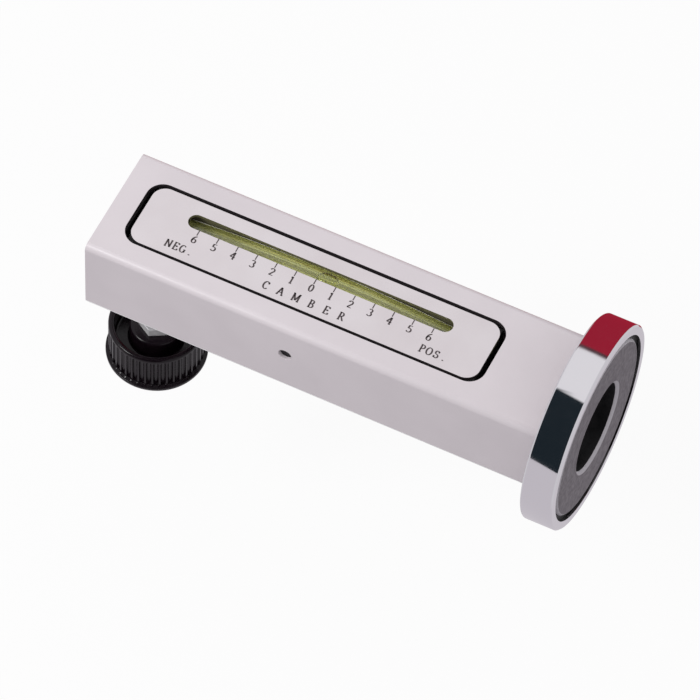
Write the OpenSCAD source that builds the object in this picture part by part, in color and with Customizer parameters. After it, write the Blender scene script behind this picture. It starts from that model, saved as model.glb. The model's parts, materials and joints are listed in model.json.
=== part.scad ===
// Camber caster gauge: a rectangular tube with a pot magnet on one end. Inside it a
// carrier rocks on a cross pin. The camber scale is on top of the carrier and the
// caster scale is underneath. A knurled knob below the outer end turns a screw that
// tilts the carrier. Millimetres. The origin is the centre of the magnet's contact
// face, +X points out of that face and +Z points up, towards the camber scale.

/* [Tube] */
// Length of the tube
tube_l = 153; // [145:1:175]
// Width of the tube, across the scale
tube_w = 40; // [38:0.5:46]
// Height of the tube
tube_h = 30; // [28:0.5:34]
// Wall thickness of the tube
tube_wall = 2; // [1.5:0.1:2.4]
// Outside radius of the tube's long edges
tube_corner_r = 2; // [1.2:0.1:2.4]
// Length of the end cap inside the tube
cap_l = 7.5; // [7:0.1:9]
// Depth of the end cap's face inside the tube's end
cap_recess = 0.3; // [0:0.1:0.5]
// Thickness of the end cap's outer wall
cap_wall = 2; // [1.5:0.1:3]
// Gap between the end cap and the flange of the threaded bush
cap_gap = 0.2; // [0.2:0.1:1]

/* [Windows] */
// Distance from the tube's outer end to the camber window in the top face
window_from_end = 7.6; // [7:0.1:10]
// Distance from the magnet cup's back to the camber window
window_from_cup = 24.6; // [22:0.1:28]
// Width of the camber window
window_w = 24.4; // [24:0.1:28]
// Corner radius of the camber window
window_r = 5.5; // [3:0.1:9]
// Amount by which the caster window in the bottom face is shorter at each end
caster_window_inset = 18; // [17:0.5:20]
// Width of the caster window
caster_window_w = 24.4; // [24:0.1:28]
// Corner radius of the caster window
caster_window_r = 5.5; // [3:0.1:9]

/* [Scale plates] */
// Thickness of both scale plates
plate_t = 1.2; // [1:0.1:2.2]
// Depth of a plate's face below the tube's face
plate_recess = 0.2; // [0.1:0.1:1]
// Gap between a plate's short ends and its window
plate_end_gap = 1.9; // [1.7:0.1:2.6]
// Gap between a plate's long sides and its window
plate_side_gap = 1.1; // [0.6:0.1:1.6]
// Corner radius of the scale plates
plate_r = 4.5; // [1:0.1:7]
// Width of the viewing slots over the vials
slot_w = 5.2; // [3:0.1:6]
// Distance from the camber viewing slot to the ends of its plate
camber_slot_margin = 13.95; // [11:0.05:18]
// Distance from the caster viewing slot to the ends of its plate
caster_slot_margin = 3.9; // [3.6:0.1:6]

/* [Vials] */
// Distance of the vials from the middle of the tube, across it
vial_y = 3.8; // [3:0.1:4.5]
// Outside diameter of both curved vials
vial_d = 8; // [7:0.1:8.2]
// Glass thickness of the vials
vial_wall = 1; // [0.6:0.1:1.4]
// Travel of the camber bubble for one degree
camber_per_degree = 6.6; // [6.2:0.1:8]
// Travel of the caster bubble for one degree
caster_per_degree = 4.5; // [4.2:0.1:6]
// Length of the camber vial that is hidden at each end of its slot
camber_vial_cover = 5.75; // [4:0.05:9]
// Length of the caster vial that is hidden at each end of its slot
caster_vial_cover = 2; // [1.5:0.1:2.3]
// Free length at each end of a vial in its trough
vial_end_play = 0.5; // [0.2:0.1:0.6]
// Length of a bubble in a curved vial
bubble_l = 7; // [4:0.1:9]
// Depth of the liquid below a bubble
bubble_floor = 1.6; // [1:0.1:2.4]
// Reading at which the camber bubble stands, in degrees
camber_reading = 0.4; // [-2:0.1:2]
// Length of the end plugs in the curved vials
plug_l = 3; // [2:0.1:4]
// Diameter of the cross level's vial in the end cap
level_d = 6; // [5:0.1:6.2]
// Length of the cross level's vial
level_l = 20; // [16:0.5:24]
// Glass thickness of the cross level's vial
level_wall = 0.7; // [0.4:0.1:0.9]
// Length of the cross level's bubble
level_bubble_l = 4.5; // [3:0.1:7]
// Height of the cross level above the middle of the tube
level_z = 5; // [2:0.1:7]
// Thickness of the cap over the front and the ends of the cross level's vial
level_cover = 1; // [0.6:0.1:1.4]
// Width of the opening that shows the cross level
level_window_w = 4.5; // [3:0.1:4.8]

/* [Carrier] */
// Width of the carrier bar
carrier_w = 21.8; // [20:0.1:22.2]
// Inset of the carrier's ends behind the ends of the scale plates
carrier_inset = 0.4; // [0.2:0.1:0.8]
// Diameter of the carrier's pivot bosses
boss_d = 10; // [8.6:0.1:11]
// Side play between a pivot boss and the tube's wall
boss_play = 0.4; // [0.3:0.1:0.8]
// Diameter of the pivot pin
pin_d = 4.4; // [3:0.1:4.4]
// Height of the pivot pin above the middle of the tube
pin_z = 1.8; // [0:0.1:2.2]
// Depth of the pivot pin's ends below the tube's sides
pin_recess = 1.2; // [0.2:0.1:1.4]
// Wall of the bush between the pin and the carrier
pivot_bush_wall = 1; // [0.6:0.1:1.4]

/* [Adjuster] */
// Diameter of the adjusting screw
stud_d = 6; // [5:0.1:7]
// Step from the screw's radius to its narrow tip in the shoe
tip_step = 1; // [0.6:0.1:1.4]
// Travel of the screw from the middle to each end
screw_travel = 3; // [2:0.1:3.2]
// Diameter of the threaded bush's body
bush_d = 10; // [9:0.1:11]
// Diameter of the bush's flange inside the tube
bush_flange_d = 13; // [12:0.1:14.5]
// Thickness of the bush's flange
bush_flange_t = 1.6; // [1:0.1:2]
// Thickness of the nut that holds the bush
bush_nut_t = 4; // [2.5:0.1:5]
// Distance across the flats of that nut
bush_nut_af = 14; // [13:0.1:16]
// Gap between the tube's bottom face and the knob's rim
knob_drop = 26.3; // [23:0.1:30]
// Wire diameter of the adjuster spring
spring_wire = 1; // [0.6:0.1:1.3]
// Mean diameter of the adjuster spring
spring_d = 9; // [8.4:0.1:10]
// Turns of the adjuster spring
spring_turns = 7.5; // [5.5:0.5:9.5]
// Diameter of the thrust shoe on the screw's tip
shoe_d = 8; // [6.6:0.1:9]
// Width of the thrust shoe's flat side below its dome
shoe_side = 1; // [0.6:0.1:1.4]

/* [Return spring] */
// Distance from the magnet cup's back to the return spring
return_from_cup = 35; // [34:0.1:36]
// Mean diameter of the return spring
return_d = 6; // [5:0.1:7]
// Wire diameter of the return spring
return_wire = 0.7; // [0.5:0.1:0.9]
// Turns of the return spring
return_turns = 6; // [4.5:0.5:7]
// Depth of the return spring's pocket in the carrier
return_pocket = 6; // [4:0.1:6.6]
// Play of the spring in that pocket, all round
pocket_play = 0.5; // [0.3:0.1:0.8]
// Thickness of the seat button's flange on the tube's floor
seat_t = 0.8; // [0.5:0.1:1.2]
// Diameter of the pin that holds the seat button in the tube's floor
seat_pin_d = 3; // [2:0.1:4]
// Height of that pin inside the spring
seat_pin_h = 1.5; // [1:0.1:2]

/* [Knob] */
// Diameter of the knob's skirt
knob_d = 32.2; // [27:0.1:34]
// Height of the knob from its outer face to its rim
knob_h = 15.8; // [13:0.1:18]
// Height of the smooth skirt below the flutes
skirt_h = 2; // [1.8:0.1:4]
// Height of the slope from the skirt to the fluted part
shoulder_h = 0.5; // [0.2:0.1:1.2]
// Amount by which the skirt stands out from the fluted part, in radius
skirt_step = 0.9; // [0.6:0.1:1.6]
// Radius of the knob's lower edge
knob_edge_r = 1.2; // [0.6:0.1:1.8]
// Radius of the edges of the knob's rim and hub
rim_edge_r = 0.6; // [0.3:0.1:0.8]
// Thickness of the knob's wall at the rim
knob_rim_t = 2; // [1.5:0.1:3]
// Depth of the hollow around the hub
knob_hollow = 8; // [4:0.1:9]
// Diameter of the knob's hub
hub_d = 17; // [14:0.1:19]
// Height by which the hub stays below the rim
hub_below_rim = 0.8; // [0:0.1:3]
// Number of flutes around the knob
flute_count = 42; // [30:1:54]
// Radius of one flute
flute_r = 0.8; // [0.5:0.05:0.9]
// Depth of one flute
flute_depth = 0.5; // [0.3:0.05:0.7]
// Smooth height between the flutes and the knob's rim
flute_top = 1.2; // [0.8:0.1:3]
// Distance across the flats of the jam nut on the hub
jam_nut_af = 10; // [9.6:0.1:13]
// Thickness of the jam nut
jam_nut_t = 3.2; // [2.4:0.1:4]

/* [Magnet] */
// Outside diameter of the magnet cup
cup_d = 67; // [62:0.5:80]
// Thickness of the magnet cup, from its back to the contact face
cup_t = 10.6; // [9:0.1:13]
// Wall thickness of the magnet cup's rim
cup_wall = 3.1; // [1.8:0.1:4]
// Thickness of the magnet cup's floor
cup_floor = 3.4; // [3:0.1:4]
// Radius of the magnet cup's rear edge
cup_edge_r = 0.8; // [0.4:0.1:2.4]
// Chamfer of the magnet cup's front edge
cup_chamfer = 0.5; // [0.2:0.1:1.2]
// Radial gap between the ring magnet and the cup, filled with potting
potting_w = 1.5; // [0.8:0.1:2.5]
// Depth of the potting below the contact face
potting_recess = 1.3; // [0.5:0.1:1.8]
// Depth of the ring magnet below the contact face
ring_recess = 0.2; // [0.1:0.1:0.8]
// Diameter of the ring magnet's bore
ring_bore_d = 29; // [24:0.5:36]
// Bevel around the ring magnet's bore
ring_bevel = 0.9; // [0.4:0.1:1.6]
// Bevel around the ring magnet's outer edge
ring_edge = 0.8; // [0.2:0.1:1.2]
// Length of the block that carries the magnet inside the tube
block_l = 14; // [12:0.5:14]
// Diameter of the screw that holds the magnet
magnet_screw_d = 6; // [5:0.1:7]
// Length of that screw under the cup
magnet_screw_l = 10; // [8:0.5:11]
// Diameter of the two screws that hold the block
block_screw_d = 4; // [3:0.1:5]
// Distance between those two screws
block_screw_pitch = 20; // [16:0.5:24]
// Length of those screws inside the block
block_screw_l = 5; // [3:0.5:8]

/* [Fits] */
// Radial clearance of the parts that turn or slide
running = 0.05; // [0.02:0.01:0.1]
// Clearance of the parts that are seated and held
seating = 0.05; // [0.02:0.01:0.1]
// Gap between a vial's glass and its liquid
liquid_gap = 0.02; // [0.01:0.01:0.1]
// Depth of a blind hole past the end of its screw
hole_spare = 1; // [0.5:0.1:1.5]
// Free space left between the carrier and what it passes when it tilts
tilt_space = 1; // [0.6:0.1:1.2]

/* [Hidden] */

// Facets of round holes and shafts, of large rings and of the vials' long curves
fine = 48;
ring_fine = 120;
vial_fine = 1440;
// Overshoot of a cut past the face it opens, and overlap of shapes that become one
eps = 0.1;
// Diameter of a countersunk head, as a multiple of its screw's diameter
countersunk = 1.9;

inner_w = tube_w - 2 * tube_wall;
inner_corner_r = 0.6;
inner_h = tube_h - 2 * tube_wall;
floor_z = -inner_h / 2;
tube_x = -cup_t - tube_l;
cap_x = tube_x + cap_recess;
window_l = tube_l - window_from_end - window_from_cup;
caster_window_l = window_l - 2 * caster_window_inset;
pivot_x = -cup_t - window_from_cup - window_l / 2;
screw_x = cap_x + cap_l + cap_gap + bush_flange_d / 2;
adjuster_arm = pivot_x - screw_x;
return_x = -cup_t - return_from_cup;

plate_l = window_l - 2 * plate_end_gap;
plate_w = window_w - 2 * plate_side_gap;
caster_plate_l = caster_window_l - 2 * plate_end_gap;
caster_plate_w = caster_window_w - 2 * plate_side_gap;
camber_slot_l = plate_l - 2 * camber_slot_margin;
caster_slot_l = caster_plate_l - 2 * caster_slot_margin;
camber_vial_l = camber_slot_l + 2 * camber_vial_cover;
caster_vial_l = caster_slot_l + 2 * caster_vial_cover;
// Inner face of a scale plate, measured from the middle of the tube
plate_seat = tube_h / 2 - plate_recess - plate_t;

carrier_l = plate_l - 2 * carrier_inset;
belly_l = caster_plate_l - 2 * carrier_inset;
max_tilt = atan(screw_travel / adjuster_arm);
dome_r = shoe_d;
shoe_h = shoe_side + dome_r - sqrt(dome_r * dome_r - shoe_d * shoe_d / 4);
// Underside of the carrier's two ends: it and the shoe clear the bush at the lowest tilt
tail_z = floor_z + bush_flange_t + max(
    tilt_space + carrier_l / 2 * sin(max_tilt),
    tilt_space / 2 + screw_travel + shoe_h);

vial_r = vial_d / 2;
// Middle of a vial at its crown, where the glass stands up between the slot's edges
vial_crown = plate_seat - seating - sqrt(vial_r * vial_r - slot_w * slot_w / 4);
camber_bend_r = camber_per_degree * 180 / PI;
caster_bend_r = caster_per_degree * 180 / PI;
liquid_r = vial_r - vial_wall - liquid_gap;

level_r = level_d / 2;
level_liquid_r = level_r - level_wall - liquid_gap;
level_x = cap_x + level_cover + level_r;

ring_t = cup_t - cup_floor - ring_recess;
ring_d = cup_d - 2 * cup_wall - 2 * potting_w;

nut_bottom = -tube_h / 2 - bush_nut_t;
rim_z = -tube_h / 2 - knob_drop;
knob_z = rim_z - knob_h;
hub_top = rim_z - hub_below_rim;
jam_top = hub_top + jam_nut_t;
stud_r = stud_d / 2;
// Narrow end of the stud inside the shoe
tip_r = stud_r - tip_step;
shoe_top = tail_z - running;
shoe_bottom = shoe_top - shoe_h;
return_top = tail_z + return_pocket;

// Rectangle with round corners, centred
module round_rect(l, w, r) {
    square([l - 2 * r, w], center = true);
    square([l, w - 2 * r], center = true);
    for (sx = [-1, 1], sy = [-1, 1])
        translate([sx * (l / 2 - r), sy * (w / 2 - r)]) circle(r, $fn = fine);
}

// Slot with round ends, centred, along X
module slot_2d(l, w) {
    square([l - w, w], center = true);
    for (s = [-1, 1]) translate([s * (l - w) / 2, 0]) circle(d = w, $fn = fine);
}

// Round-cornered bar along +X from x, with its section in Y and Z
module bar_x(x, l, w, h, r) {
    translate([x, 0, 0]) rotate([90, 0, 90]) linear_extrude(l) round_rect(w, h, r);
}

// Turned part: the profile's second axis becomes +X
module turned_x(x) {
    translate([x, 0, 0]) rotate([0, 90, 0]) rotate_extrude($fn = ring_fine) children();
}

// Bent bar over a chord of length l, its crown at height z; its section is given as
// a 2-D child, with the first axis pointing outwards from the bend's centre
module bent_along_x(l, bend_r, z, shift = 0) {
    half = asin(l / 2 / bend_r);
    turn = asin(shift / bend_r);
    translate([pivot_x, vial_y, z - bend_r]) rotate([90, 0, 0]) rotate([0, 0, 90 - half - turn])
        rotate_extrude(angle = 2 * half, $fn = vial_fine) translate([bend_r, 0]) children();
}

// Hexagonal prism along Z, from z up
module hex_prism(z, h, af) {
    translate([0, 0, z]) rotate(30) cylinder(h = h, d = af / cos(30), $fn = 6);
}

// Compression spring from z0 to z1 along Z: one close turn at each end
module coil_spring(z0, z1, mean_d, wire, turns) {
    steps = 20;
    sides = 8;
    count = floor(turns * steps);
    close_rise = 1.08 * wire;
    open_rise = (z1 - z0 - wire - 2 * close_rise) / (turns - 2);
    function rise(t) = t < 1 ? t * close_rise
        : t > turns - 1 ? z1 - z0 - wire - (turns - t) * close_rise
        : close_rise + (t - 1) * open_rise;
    function point(t, a) = let (r = mean_d / 2 + wire / 2 * cos(a), turn = 360 * t)
        [r * cos(turn), r * sin(turn), z0 + wire / 2 + rise(t) + wire / 2 * sin(a)];
    points = [for (i = [0:count], j = [0:sides - 1]) point(i / steps, 360 * j / sides)];
    sides_faces = [for (i = [0:count - 1], j = [0:sides - 1]) let (k = (j + 1) % sides)
        [i * sides + j, i * sides + k, (i + 1) * sides + k, (i + 1) * sides + j]];
    start_face = [for (j = [sides - 1:-1:0]) j];
    end_face = [for (j = [0:sides - 1]) count * sides + j];
    polyhedron(points, concat([start_face], sides_faces, [end_face]));
}

// ---- Housing ----

module body_tube() {
    color([0.82, 0.80, 0.81]) difference() {
        bar_x(tube_x, tube_l, tube_w, tube_h, tube_corner_r);
        bar_x(tube_x - eps, tube_l + 2 * eps, inner_w, inner_h, inner_corner_r);
        translate([pivot_x, 0, 0]) linear_extrude(tube_h) round_rect(window_l, window_w, window_r);
        translate([pivot_x, 0, -tube_h]) linear_extrude(tube_h)
            round_rect(caster_window_l, caster_window_w, caster_window_r);
        translate([pivot_x, 0, pin_z]) rotate([90, 0, 0])
            cylinder(h = 2 * tube_w, d = pin_d, center = true, $fn = fine);
        translate([screw_x, 0, -tube_h]) cylinder(h = tube_h, d = bush_d + 2 * seating, $fn = fine);
        translate([return_x, 0, -tube_h]) cylinder(h = tube_h, d = seat_pin_d + 2 * seating, $fn = fine);
        for (s = [-1, 1]) block_screw_at(s) {
            block_screw_shank(seating);
            block_screw_head(seating);
        }
    }
}

module end_cap() {
    color([0.16, 0.16, 0.17]) difference() {
        bar_x(cap_x, cap_l, inner_w - 2 * seating, inner_h - 2 * seating, inner_corner_r);
        // Seat of the vial, open to the inside of the tube
        translate([level_x, 0, level_z]) rotate([90, 0, 0])
            cylinder(h = level_l + 2 * seating, d = level_d + 2 * seating, center = true, $fn = fine);
        translate([level_x, -level_l / 2 - seating, level_z - level_r - seating])
            cube([cap_l, level_l + 2 * seating, level_d + 2 * seating]);
        // Window to the vial, and the hollow below it
        translate([cap_x - eps, 0, level_z]) rotate([90, 0, 90])
            linear_extrude(eps + level_cover + level_r) slot_2d(level_l - 2 * level_cover, level_window_w);
        translate([cap_x + cap_wall, cap_wall - inner_w / 2, floor_z + cap_wall])
            cube([cap_l, inner_w - 2 * cap_wall, level_z - level_r - floor_z - 2 * cap_wall]);
    }
}

module level_vial_glass() {
    color([0.85, 0.92, 0.88, 0.5]) translate([level_x, 0, level_z]) rotate([90, 0, 0]) difference() {
        cylinder(h = level_l, d = level_d, center = true, $fn = fine);
        cylinder(h = level_l - 2 * level_wall, r = level_r - level_wall, center = true, $fn = fine);
    }
}

module level_vial_liquid() {
    color([0.70, 0.80, 0.25, 0.7]) translate([level_x, 0, level_z]) rotate([90, 0, 0]) difference() {
        cylinder(h = level_l - 2 * (level_wall + liquid_gap), r = level_liquid_r, center = true, $fn = fine);
        translate([0, bubble_rise(level_liquid_r), 0])
            cylinder(h = level_bubble_l, r = bubble_r(level_liquid_r), center = true, $fn = fine);
    }
}

// Radius of a bubble in liquid of radius r, and its middle's height above the liquid's:
// the bubble just breaks through the liquid's top
function bubble_r(r) = r - bubble_floor / 2;
function bubble_rise(r) = r - bubble_r(r) + eps / 2;

module mount_block() {
    color([0.70, 0.71, 0.73]) difference() {
        bar_x(-cup_t - block_l, block_l, inner_w - 2 * seating, inner_h - 2 * seating, inner_corner_r);
        translate([-cup_t - magnet_screw_l - hole_spare, 0, 0]) rotate([0, 90, 0])
            cylinder(h = magnet_screw_l + hole_spare + eps, d = magnet_screw_d + 2 * seating, $fn = fine);
        for (s = [-1, 1]) block_screw_at(s) block_screw_shank(seating, hole_spare);
    }
}

// Places a child at a block screw, its Z pointing into the tube from the bottom face
module block_screw_at(side) {
    translate([-cup_t - block_l / 2, side * block_screw_pitch / 2, -tube_h / 2]) children();
}

// Countersunk head with its wide end flush; gap makes it the recess in the tube,
// which overshoots the tube's face
module block_screw_head(gap = 0) {
    head_r = countersunk * block_screw_d / 2 + gap;
    cylinder(h = head_r - block_screw_d / 2, r1 = head_r, r2 = block_screw_d / 2, $fn = fine);
    if (gap > 0) translate([0, 0, -eps]) cylinder(h = 2 * eps, r = head_r, $fn = fine);
}

// Shank from just inside the head's face; gap and spare make it the screw's hole
module block_screw_shank(gap = 0, spare = 0) {
    cylinder(h = tube_wall + block_screw_l + spare, r = block_screw_d / 2 + gap, $fn = fine);
}

module block_screws() {
    recess_w = 0.2 * block_screw_d;
    recess_depth = 0.25 * block_screw_d;
    color([0.55, 0.56, 0.58]) for (s = [-1, 1]) block_screw_at(s) difference() {
        union() {
            block_screw_head();
            block_screw_shank();
        }
        for (turn = [0, 90]) rotate(turn) translate([-block_screw_d / 2, -recess_w / 2, -eps])
            cube([block_screw_d, recess_w, recess_depth + eps]);
    }
}

// ---- Magnet ----

module magnet_cup() {
    r = cup_d / 2;
    screw_r = magnet_screw_d / 2 + seating;
    color([0.86, 0.87, 0.88]) turned_x(-cup_t) difference() {
        union() {
            square([r - cup_edge_r, cup_t]);
            translate([r - cup_edge_r, cup_edge_r]) circle(cup_edge_r, $fn = fine);
            polygon([
                [0, cup_edge_r], [r, cup_edge_r], [r, cup_t - cup_chamfer],
                [r - cup_chamfer, cup_t], [0, cup_t]]);
        }
        translate([0, cup_floor]) square([r - cup_wall, cup_t]);
        translate([0, -eps]) square([screw_r, cup_t]);
        polygon([
            [0, cup_floor - screw_r], [screw_r, cup_floor - screw_r],
            [2 * screw_r, cup_floor], [2 * screw_r, cup_floor + eps], [0, cup_floor + eps]]);
    }
}

module magnet_ring() {
    bore_r = ring_bore_d / 2;
    outer_r = ring_d / 2;
    color([0.38, 0.36, 0.38]) turned_x(-cup_t + cup_floor) polygon([
        [bore_r, 0], [outer_r, 0], [outer_r, ring_t - ring_edge], [outer_r - ring_edge, ring_t],
        [bore_r + ring_bevel, ring_t], [bore_r, ring_t - ring_bevel]]);
}

module magnet_potting() {
    color([0.07, 0.07, 0.08]) turned_x(-cup_t + cup_floor)
        translate([ring_d / 2 + seating / 2, 0])
            square([potting_w - seating, cup_t - cup_floor - potting_recess]);
}

module magnet_screw() {
    r = magnet_screw_d / 2;
    point = r / 6;
    socket_af = 4 / 3 * r;
    socket_depth = 0.8 * r;
    color([0.15, 0.15, 0.16]) difference() {
        turned_x(-cup_t) polygon([
            [0, -magnet_screw_l], [r - point, -magnet_screw_l], [r, point - magnet_screw_l],
            [r, cup_floor - r], [2 * r, cup_floor], [0, cup_floor]]);
        translate([-cup_t + cup_floor, 0, 0]) rotate([0, 90, 0])
            hex_prism(-socket_depth, socket_depth + eps, socket_af);
    }
}

// ---- Pivot, adjuster and springs on the housing ----

module pivot_pin() {
    color([0.15, 0.15, 0.16]) translate([pivot_x, 0, pin_z]) rotate([90, 0, 0])
        cylinder(h = tube_w - 2 * pin_recess, d = pin_d - seating, center = true, $fn = fine);
}

module adjuster_bush() {
    bore_r = stud_r + running;
    flange_top = floor_z + bush_flange_t;
    color([0.72, 0.58, 0.30]) translate([screw_x, 0, 0]) rotate_extrude($fn = fine) polygon([
        [bore_r, nut_bottom], [bush_d / 2, nut_bottom], [bush_d / 2, floor_z],
        [bush_flange_d / 2, floor_z], [bush_flange_d / 2, flange_top], [bore_r, flange_top]]);
}

module bush_nut() {
    color([0.66, 0.66, 0.68]) translate([screw_x, 0, 0]) difference() {
        hex_prism(nut_bottom, bush_nut_t, bush_nut_af);
        translate([0, 0, nut_bottom - eps])
            cylinder(h = bush_nut_t + 2 * eps, d = bush_d + seating, $fn = fine);
    }
}

module return_spring_seat() {
    color([0.72, 0.58, 0.30]) translate([return_x, 0, 0]) {
        translate([0, 0, floor_z]) cylinder(h = seat_t, d = return_d + 2 * return_wire, $fn = fine);
        translate([0, 0, -tube_h / 2])
            cylinder(h = tube_wall + seat_t + seat_pin_h, d = seat_pin_d, $fn = fine);
    }
}

module return_spring() {
    color([0.60, 0.61, 0.63]) translate([return_x, 0, 0])
        coil_spring(floor_z + seat_t, return_top - running, return_d, return_wire, return_turns);
}

module adjuster_spring() {
    color([0.60, 0.61, 0.63]) translate([screw_x, 0, 0])
        coil_spring(jam_top, nut_bottom, spring_d, spring_wire, spring_turns);
}

// ---- Carrier ----

module carrier_frame() {
    color([0.08, 0.08, 0.09]) difference() {
        union() {
            translate([pivot_x, 0, 0]) rotate([90, 0, 0]) linear_extrude(carrier_w, center = true) {
                translate([-carrier_l / 2, tail_z]) square([carrier_l, plate_seat - tail_z]);
                translate([-belly_l / 2, -plate_seat]) square([belly_l, plate_seat + tail_z + eps]);
            }
            translate([pivot_x, 0, pin_z]) rotate([90, 0, 0])
                cylinder(h = inner_w - 2 * boss_play, d = boss_d, center = true, $fn = fine);
        }
        translate([pivot_x, 0, pin_z]) rotate([90, 0, 0])
            cylinder(h = 2 * tube_w, d = pin_d + 2 * pivot_bush_wall, center = true, $fn = fine);
        vial_seat(camber_vial_l, camber_bend_r);
        mirror([0, 0, 1]) vial_seat(caster_vial_l, caster_bend_r);
        translate([return_x, 0, tail_z - eps])
            cylinder(h = return_pocket + eps, d = return_d + return_wire + 2 * pocket_play, $fn = fine);
    }
}

// Trough for a vial, open towards its scale plate
module vial_seat(l, bend_r) {
    r = vial_r + seating;
    bent_along_x(l + 2 * vial_end_play, bend_r, vial_crown) {
        circle(r, $fn = fine);
        translate([0, -r]) square([vial_d + bend_r - sqrt(bend_r * bend_r - l * l / 4), 2 * r]);
    }
}

module pivot_bush() {
    outer_d = pin_d + 2 * (pivot_bush_wall - seating);
    color([0.72, 0.58, 0.30]) translate([pivot_x, 0, pin_z]) rotate([90, 0, 0]) difference() {
        cylinder(h = inner_w - 2 * boss_play, d = outer_d, center = true, $fn = fine);
        cylinder(h = inner_w, d = pin_d - seating + 2 * running, center = true, $fn = fine);
    }
}

// Scale plate with its viewing slot; side is 1 above the carrier and -1 below it
module scale_plate(l, w, slot_l) {
    translate([pivot_x, 0, plate_seat]) linear_extrude(plate_t) difference() {
        round_rect(l, w, plate_r);
        translate([0, vial_y]) slot_2d(slot_l, slot_w);
    }
}

module vial_glass(l, bend_r) {
    bent_along_x(l, bend_r, vial_crown) difference() {
        circle(vial_r, $fn = fine);
        circle(vial_r - vial_wall, $fn = fine);
    }
}

module vial_liquid(l, bend_r, reading_mm) {
    difference() {
        bent_along_x(l - 2 * (plug_l + liquid_gap), bend_r, vial_crown) circle(liquid_r, $fn = fine);
        bent_along_x(bubble_l, bend_r, vial_crown, -reading_mm)
            translate([bubble_rise(liquid_r), 0]) circle(bubble_r(liquid_r), $fn = fine);
    }
}

module vial_plugs(l, bend_r) {
    for (s = [-1, 1]) bent_along_x(plug_l, bend_r, vial_crown, s * (l - plug_l) / 2)
        circle(liquid_r, $fn = fine);
}

module camber_scale_plate() {
    color([0.84, 0.82, 0.83]) scale_plate(plate_l, plate_w, camber_slot_l);
}

module camber_vial_glass() {
    color([0.85, 0.92, 0.88, 0.4]) vial_glass(camber_vial_l, camber_bend_r);
}

module camber_vial_liquid() {
    color([0.62, 0.66, 0.25, 0.8])
        vial_liquid(camber_vial_l, camber_bend_r, camber_reading * camber_per_degree);
}

module camber_vial_plugs() {
    color([0.07, 0.07, 0.08]) vial_plugs(camber_vial_l, camber_bend_r);
}

module caster_scale_plate() {
    color([0.84, 0.82, 0.83]) mirror([0, 0, 1]) scale_plate(caster_plate_l, caster_plate_w, caster_slot_l);
}

module caster_vial_glass() {
    color([0.85, 0.92, 0.88, 0.4]) mirror([0, 0, 1]) vial_glass(caster_vial_l, caster_bend_r);
}

module caster_vial_liquid() {
    color([0.62, 0.66, 0.25, 0.8]) mirror([0, 0, 1]) vial_liquid(caster_vial_l, caster_bend_r, 0);
}

module caster_vial_plugs() {
    color([0.07, 0.07, 0.08]) mirror([0, 0, 1]) vial_plugs(caster_vial_l, caster_bend_r);
}

// ---- Thrust shoe, stud and knob ----

module thrust_shoe() {
    color([0.90, 0.89, 0.84]) translate([screw_x, 0, 0]) difference() {
        intersection() {
            translate([0, 0, shoe_bottom]) cylinder(h = shoe_h, d = shoe_d, $fn = fine);
            translate([0, 0, shoe_top - dome_r]) sphere(dome_r, $fn = fine);
        }
        translate([0, 0, shoe_bottom - eps])
            cylinder(h = shoe_side + eps, r = tip_r + running, $fn = fine);
    }
}

module adjuster_stud() {
    shoulder = shoe_bottom - running;
    tip_end = shoe_bottom + shoe_side - 2 * running;
    bottom = hub_top - knob_hollow;
    color([0.72, 0.72, 0.74]) translate([screw_x, 0, 0]) rotate_extrude($fn = fine) polygon([
        [0, bottom], [stud_r, bottom], [stud_r, shoulder], [tip_r, shoulder], [tip_r, tip_end], [0, tip_end]]);
}

module knob() {
    r = knob_d / 2;
    top_r = r - skirt_step;
    hollow_r = top_r - knob_rim_t;
    hollow_floor = knob_h - knob_hollow;
    hub_h = knob_h - hub_below_rim;
    color([0.10, 0.08, 0.10]) translate([screw_x, 0, knob_z]) difference() {
        rotate_extrude($fn = ring_fine) {
            translate([r - knob_edge_r, knob_edge_r]) circle(knob_edge_r, $fn = fine);
            translate([top_r - rim_edge_r, knob_h - rim_edge_r]) circle(rim_edge_r, $fn = fine);
            translate([hub_d / 2 - rim_edge_r, hub_h - rim_edge_r]) circle(rim_edge_r, $fn = fine);
            polygon([
                [0, 0], [r - knob_edge_r, 0], [r, knob_edge_r], [r, skirt_h], [top_r, skirt_h + shoulder_h],
                [top_r, knob_h - rim_edge_r], [top_r - rim_edge_r, knob_h], [hollow_r, knob_h],
                [hollow_r, hollow_floor], [hub_d / 2, hollow_floor], [hub_d / 2, hub_h - rim_edge_r],
                [hub_d / 2 - rim_edge_r, hub_h], [0, hub_h]]);
        }
        for (i = [0:flute_count - 1]) rotate(360 * i / flute_count)
            translate([top_r + flute_r - flute_depth, 0, skirt_h])
                cylinder(h = knob_h - skirt_h - flute_top, r = flute_r, $fn = 16);
        translate([0, 0, hub_h - knob_hollow]) cylinder(h = knob_h, r = stud_r + seating, $fn = fine);
    }
}

module jam_nut() {
    color([0.75, 0.75, 0.77]) translate([screw_x, 0, 0]) difference() {
        hex_prism(hub_top, jam_nut_t, jam_nut_af);
        translate([0, 0, hub_top - eps]) cylinder(h = jam_nut_t + 2 * eps, r = stud_r + seating, $fn = fine);
    }
}

body_tube();
end_cap();
level_vial_glass();
level_vial_liquid();
mount_block();
block_screws();
magnet_cup();
magnet_ring();
magnet_potting();
magnet_screw();
pivot_pin();
adjuster_bush();
bush_nut();
return_spring_seat();
return_spring();
adjuster_spring();
carrier_frame();
pivot_bush();
camber_scale_plate();
camber_vial_glass();
camber_vial_liquid();
camber_vial_plugs();
caster_scale_plate();
caster_vial_glass();
caster_vial_liquid();
caster_vial_plugs();
thrust_shoe();
adjuster_stud();
knob();
jam_nut();
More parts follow.
